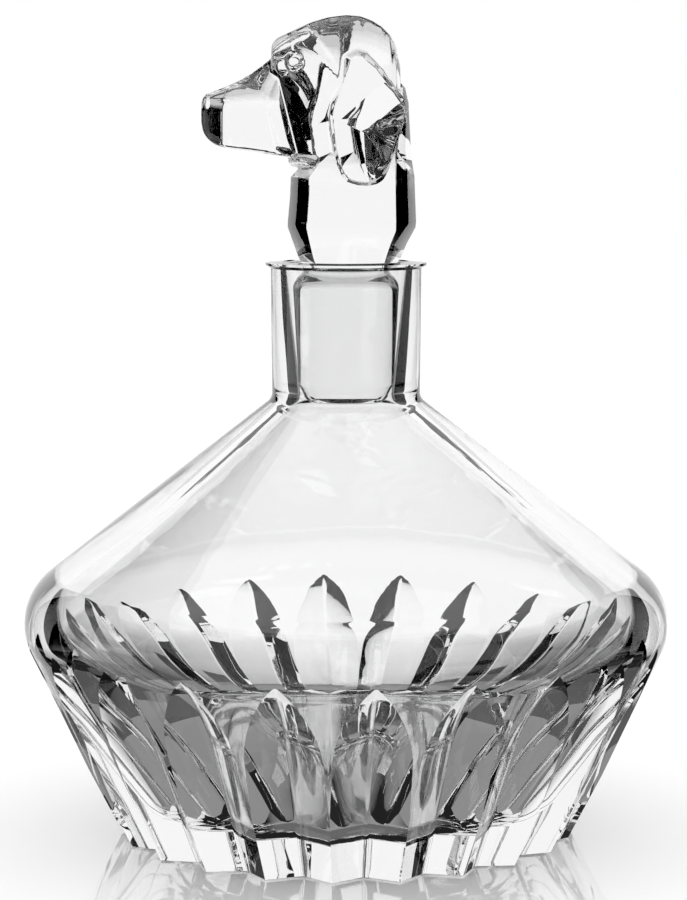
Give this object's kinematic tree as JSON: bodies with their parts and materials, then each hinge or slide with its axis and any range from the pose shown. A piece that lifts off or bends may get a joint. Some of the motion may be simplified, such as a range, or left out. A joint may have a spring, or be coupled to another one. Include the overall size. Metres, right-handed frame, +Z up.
{
  "type": "decanter",
  "caption": "Wide-based cut glass decanter with V flutes round the lower wall and a solid hound's head stopper that lifts out of the neck.",
  "frame": {"origin": "centre of the underside, on the surface that the decanter stands on", "axes": "+Z up along the neck; the hound's head on the stopper looks along -X; the picture is taken along +Y"},
  "size_m": [0.19, 0.1898, 0.2414],
  "materials": {
    "body_glass": "clear, fire-polished inside, cut and polished outside",
    "stopper_glass": "clear, pressed and polished, plug ground and polished"
  },
  "bodies": {
    "body": {"decanter_body": "body_glass"},
    "stopper": {"stopper": "stopper_glass"}
  },
  "joints": [
    {"name": "stopper_lift", "type": "slide", "parent": "body", "child": "stopper", "axis": [0, 0, 1], "range_m": [0, 0.06]}
  ]
}
